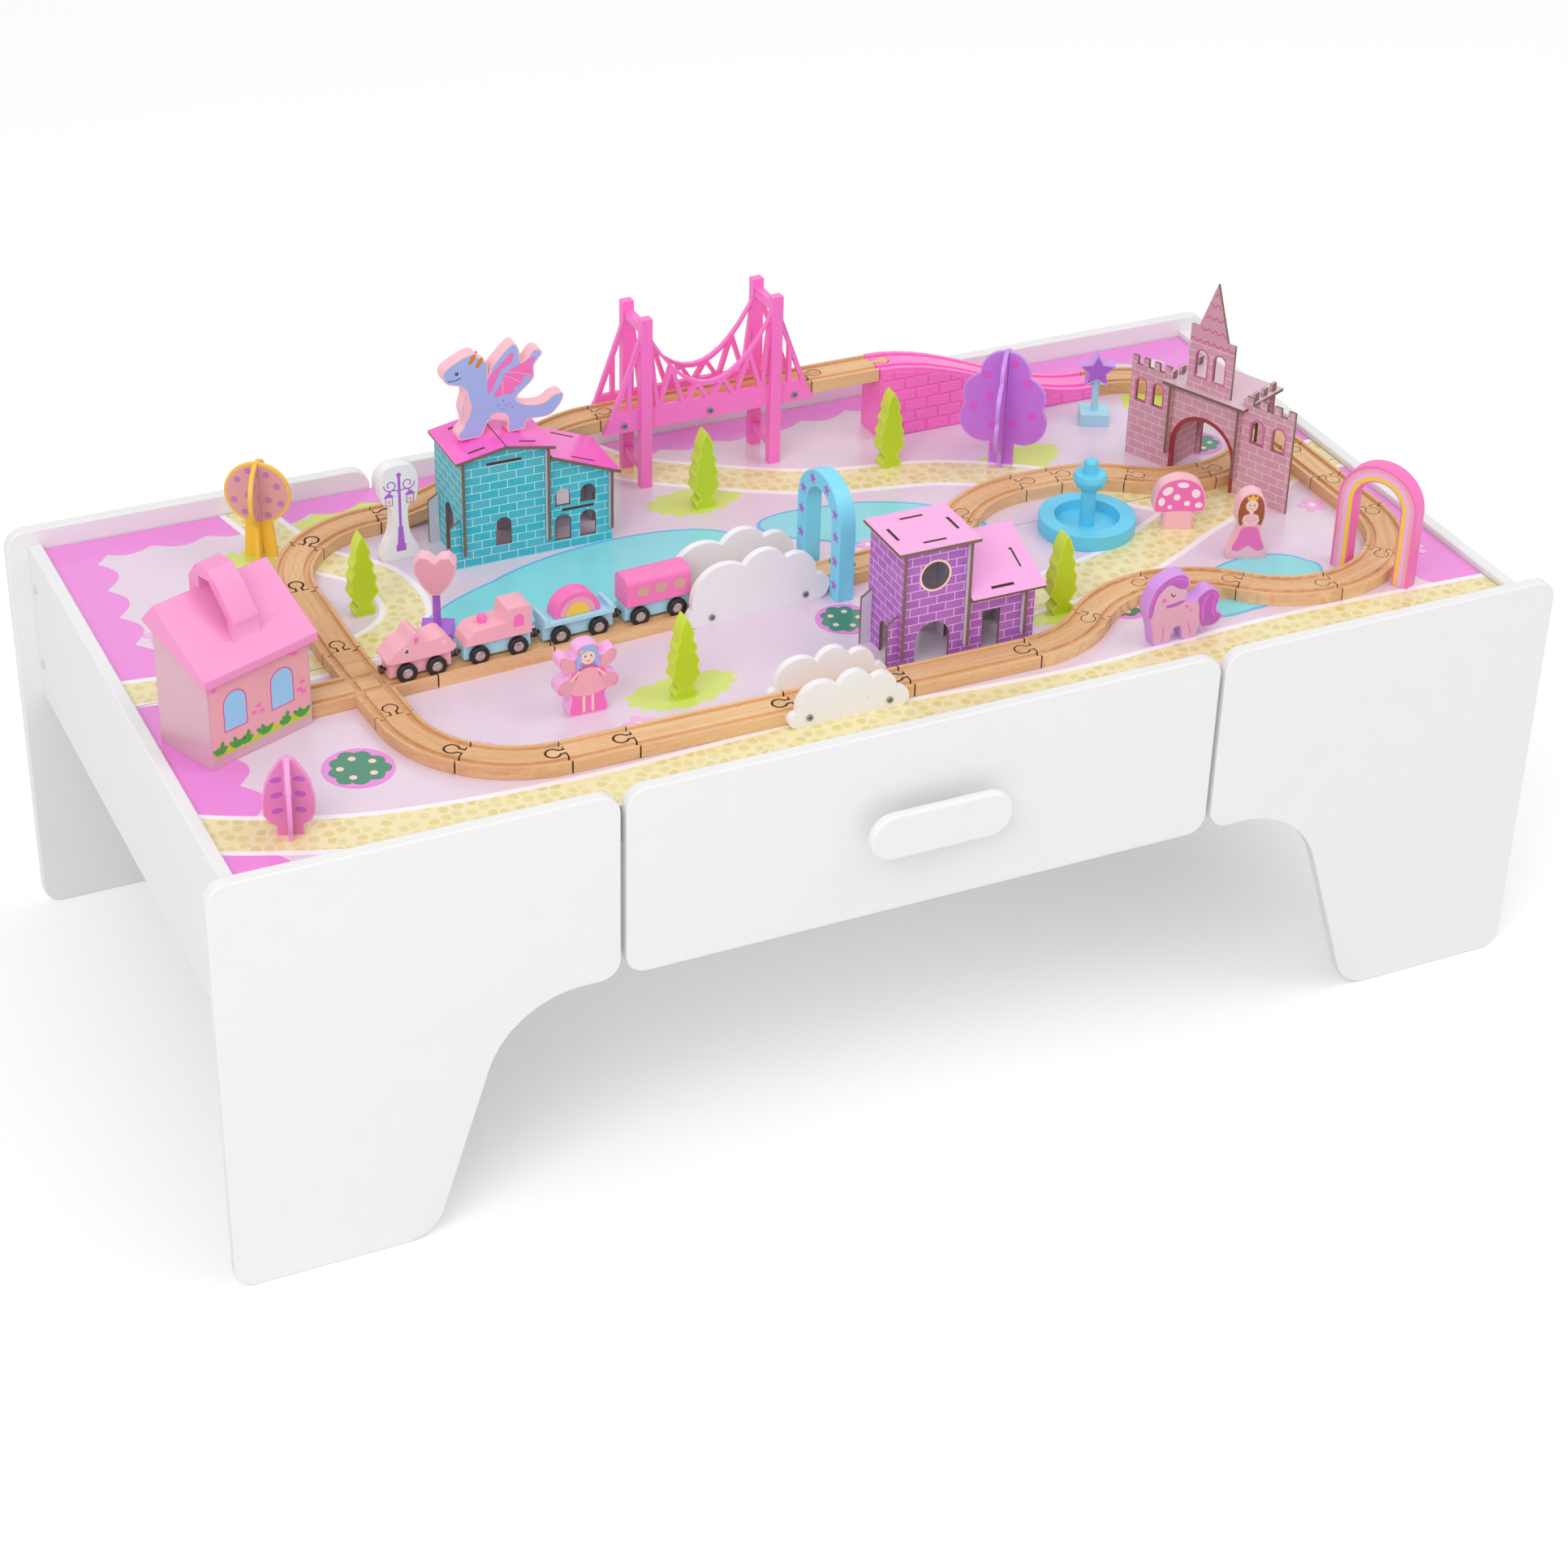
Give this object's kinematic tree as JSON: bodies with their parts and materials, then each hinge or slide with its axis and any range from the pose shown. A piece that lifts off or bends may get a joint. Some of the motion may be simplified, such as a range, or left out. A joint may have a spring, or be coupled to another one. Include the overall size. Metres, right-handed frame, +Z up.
{
  "type": "train table",
  "caption": "Low white play table with wavy leg panels, a drawer, a printed board, a grooved wooden railway with bridge, a rolling train and wooden toy buildings.",
  "frame": {"origin": "centre of the bounding box on the floor", "axes": "+X to the right along the table, +Y from the drawer side to the back, +Z up"},
  "size_m": [1.25, 0.642, 0.583],
  "materials": {
    "white_paint": "satin",
    "printed_board": "satin",
    "cap_plastic": "matte",
    "beech": "satin",
    "pink_plastic": "gloss",
    "steel": "satin",
    "pink_paint": "satin",
    "blue_paint": "satin",
    "rainbow_paint": "satin",
    "magnet": "satin",
    "wheel_plastic": "matte",
    "teal_print": "matte",
    "pink_print": "matte",
    "purple_print": "matte",
    "mauve_print": "matte",
    "clear_pink": "gloss",
    "pink_lid": "satin",
    "tree_paint": "satin",
    "figure_paint": "satin"
  },
  "bodies": {
    "table": {"front_left_leg": "white_paint", "front_right_leg": "white_paint", "rear_left_leg": "white_paint", "rear_right_leg": "white_paint", "rear_panel": "white_paint", "left_apron": "white_paint", "right_apron": "white_paint", "front_board": "printed_board", "rear_board": "printed_board", "board_rails": "white_paint", "drawer_runners": "white_paint", "joint_caps": "cap_plastic", "cross_track": "beech", "left_track": "beech", "front_track": "beech", "wave_track": "beech", "right_track": "beech", "inner_track": "beech", "bridge_track": "beech", "brick_ramp": "pink_plastic", "bridge_frame": "pink_plastic", "toy_screws": "steel", "teal_house_walls": "teal_print", "teal_house_roof": "pink_print", "purple_house_walls": "purple_print", "purple_house_roof": "pink_print", "castle_walls": "mauve_print", "castle_roof": "mauve_print", "station_case": "clear_pink", "cloud_tunnels": "white_paint", "arches": "rainbow_paint", "fountain": "blue_paint", "trees": "tree_paint", "signs_and_figures": "figure_paint"},
    "drawer": {"drawer_front": "white_paint", "drawer_handle": "white_paint", "handle_posts": "white_paint", "drawer_sides": "white_paint", "drawer_back": "white_paint", "drawer_bottom": "white_paint"},
    "loco": {"loco_body": "pink_paint", "loco_couplers": "magnet"},
    "engine": {"engine_chassis": "blue_paint", "engine_body": "pink_paint", "engine_couplers": "magnet"},
    "wagon": {"wagon_chassis": "blue_paint", "wagon_rainbow": "rainbow_paint", "wagon_couplers": "magnet"},
    "coach": {"coach_chassis": "blue_paint", "coach_cabin": "pink_paint", "coach_couplers": "magnet"},
    "loco_front_axle": {"loco_front_wheels": "wheel_plastic"},
    "loco_rear_axle": {"loco_rear_wheels": "wheel_plastic"},
    "engine_front_axle": {"engine_front_wheels": "wheel_plastic"},
    "engine_rear_axle": {"engine_rear_wheels": "wheel_plastic"},
    "wagon_front_axle": {"wagon_front_wheels": "wheel_plastic"},
    "wagon_rear_axle": {"wagon_rear_wheels": "wheel_plastic"},
    "coach_front_axle": {"coach_front_wheels": "wheel_plastic"},
    "coach_rear_axle": {"coach_rear_wheels": "wheel_plastic"},
    "station_lid": {"station_roof": "pink_lid"}
  },
  "joints": [
    {"name": "drawer_slide", "type": "slide", "parent": "table", "child": "drawer", "axis": [0, -1, 0], "range_m": [0, 0.3]},
    {"name": "loco_slide", "type": "slide", "parent": "table", "child": "loco", "axis": [0.9983, 0.0591, 0], "range_m": [-0.05, 0.19]},
    {"name": "loco_front_roll", "type": "hinge", "parent": "loco", "child": "loco_front_axle", "pos_m": [-0.3748, -0.04015, 0.3983], "axis": [-0.0591, 0.9983, 0], "continuous": true},
    {"name": "loco_rear_roll", "type": "hinge", "parent": "loco", "child": "loco_rear_axle", "pos_m": [-0.34785, -0.03856, 0.3983], "axis": [-0.0591, 0.9983, 0], "continuous": true},
    {"name": "engine_slide", "type": "slide", "parent": "table", "child": "engine", "axis": [0.9983, 0.0591, 0], "range_m": [-0.05, 0.19]},
    {"name": "engine_front_roll", "type": "hinge", "parent": "engine", "child": "engine_front_axle", "pos_m": [-0.30842, -0.03622, 0.3983], "axis": [-0.0591, 0.9983, 0], "continuous": true},
    {"name": "engine_rear_roll", "type": "hinge", "parent": "engine", "child": "engine_rear_axle", "pos_m": [-0.27248, -0.03409, 0.3983], "axis": [-0.0591, 0.9983, 0], "continuous": true},
    {"name": "wagon_slide", "type": "slide", "parent": "table", "child": "wagon", "axis": [0.9983, 0.0591, 0], "range_m": [-0.05, 0.19]},
    {"name": "wagon_front_roll", "type": "hinge", "parent": "wagon", "child": "wagon_front_axle", "pos_m": [-0.23255, -0.03173, 0.3983], "axis": [-0.0591, 0.9983, 0], "continuous": true},
    {"name": "wagon_rear_roll", "type": "hinge", "parent": "wagon", "child": "wagon_rear_axle", "pos_m": [-0.19662, -0.0296, 0.3983], "axis": [-0.0591, 0.9983, 0], "continuous": true},
    {"name": "coach_slide", "type": "slide", "parent": "table", "child": "coach", "axis": [0.9983, 0.0591, 0], "range_m": [-0.05, 0.19]},
    {"name": "coach_front_roll", "type": "hinge", "parent": "coach", "child": "coach_front_axle", "pos_m": [-0.15669, -0.02724, 0.3983], "axis": [-0.0591, 0.9983, 0], "continuous": true},
    {"name": "coach_rear_roll", "type": "hinge", "parent": "coach", "child": "coach_rear_axle", "pos_m": [-0.12075, -0.02511, 0.3983], "axis": [-0.0591, 0.9983, 0], "continuous": true},
    {"name": "lid_lift", "type": "slide", "parent": "table", "child": "station_lid", "axis": [0, 0, 1], "range_m": [0, 0.06]}
  ],
  "couplings": [
    {"joint": "loco_front_roll", "follows": "loco_slide", "rad_per_m": 111.11},
    {"joint": "loco_rear_roll", "follows": "loco_slide", "rad_per_m": 111.11},
    {"joint": "engine_slide", "follows": "loco_slide", "ratio": 1},
    {"joint": "engine_front_roll", "follows": "loco_slide", "rad_per_m": 111.11},
    {"joint": "engine_rear_roll", "follows": "loco_slide", "rad_per_m": 111.11},
    {"joint": "wagon_slide", "follows": "loco_slide", "ratio": 1},
    {"joint": "wagon_front_roll", "follows": "loco_slide", "rad_per_m": 111.11},
    {"joint": "wagon_rear_roll", "follows": "loco_slide", "rad_per_m": 111.11},
    {"joint": "coach_slide", "follows": "loco_slide", "ratio": 1},
    {"joint": "coach_front_roll", "follows": "loco_slide", "rad_per_m": 111.11},
    {"joint": "coach_rear_roll", "follows": "loco_slide", "rad_per_m": 111.11}
  ]
}
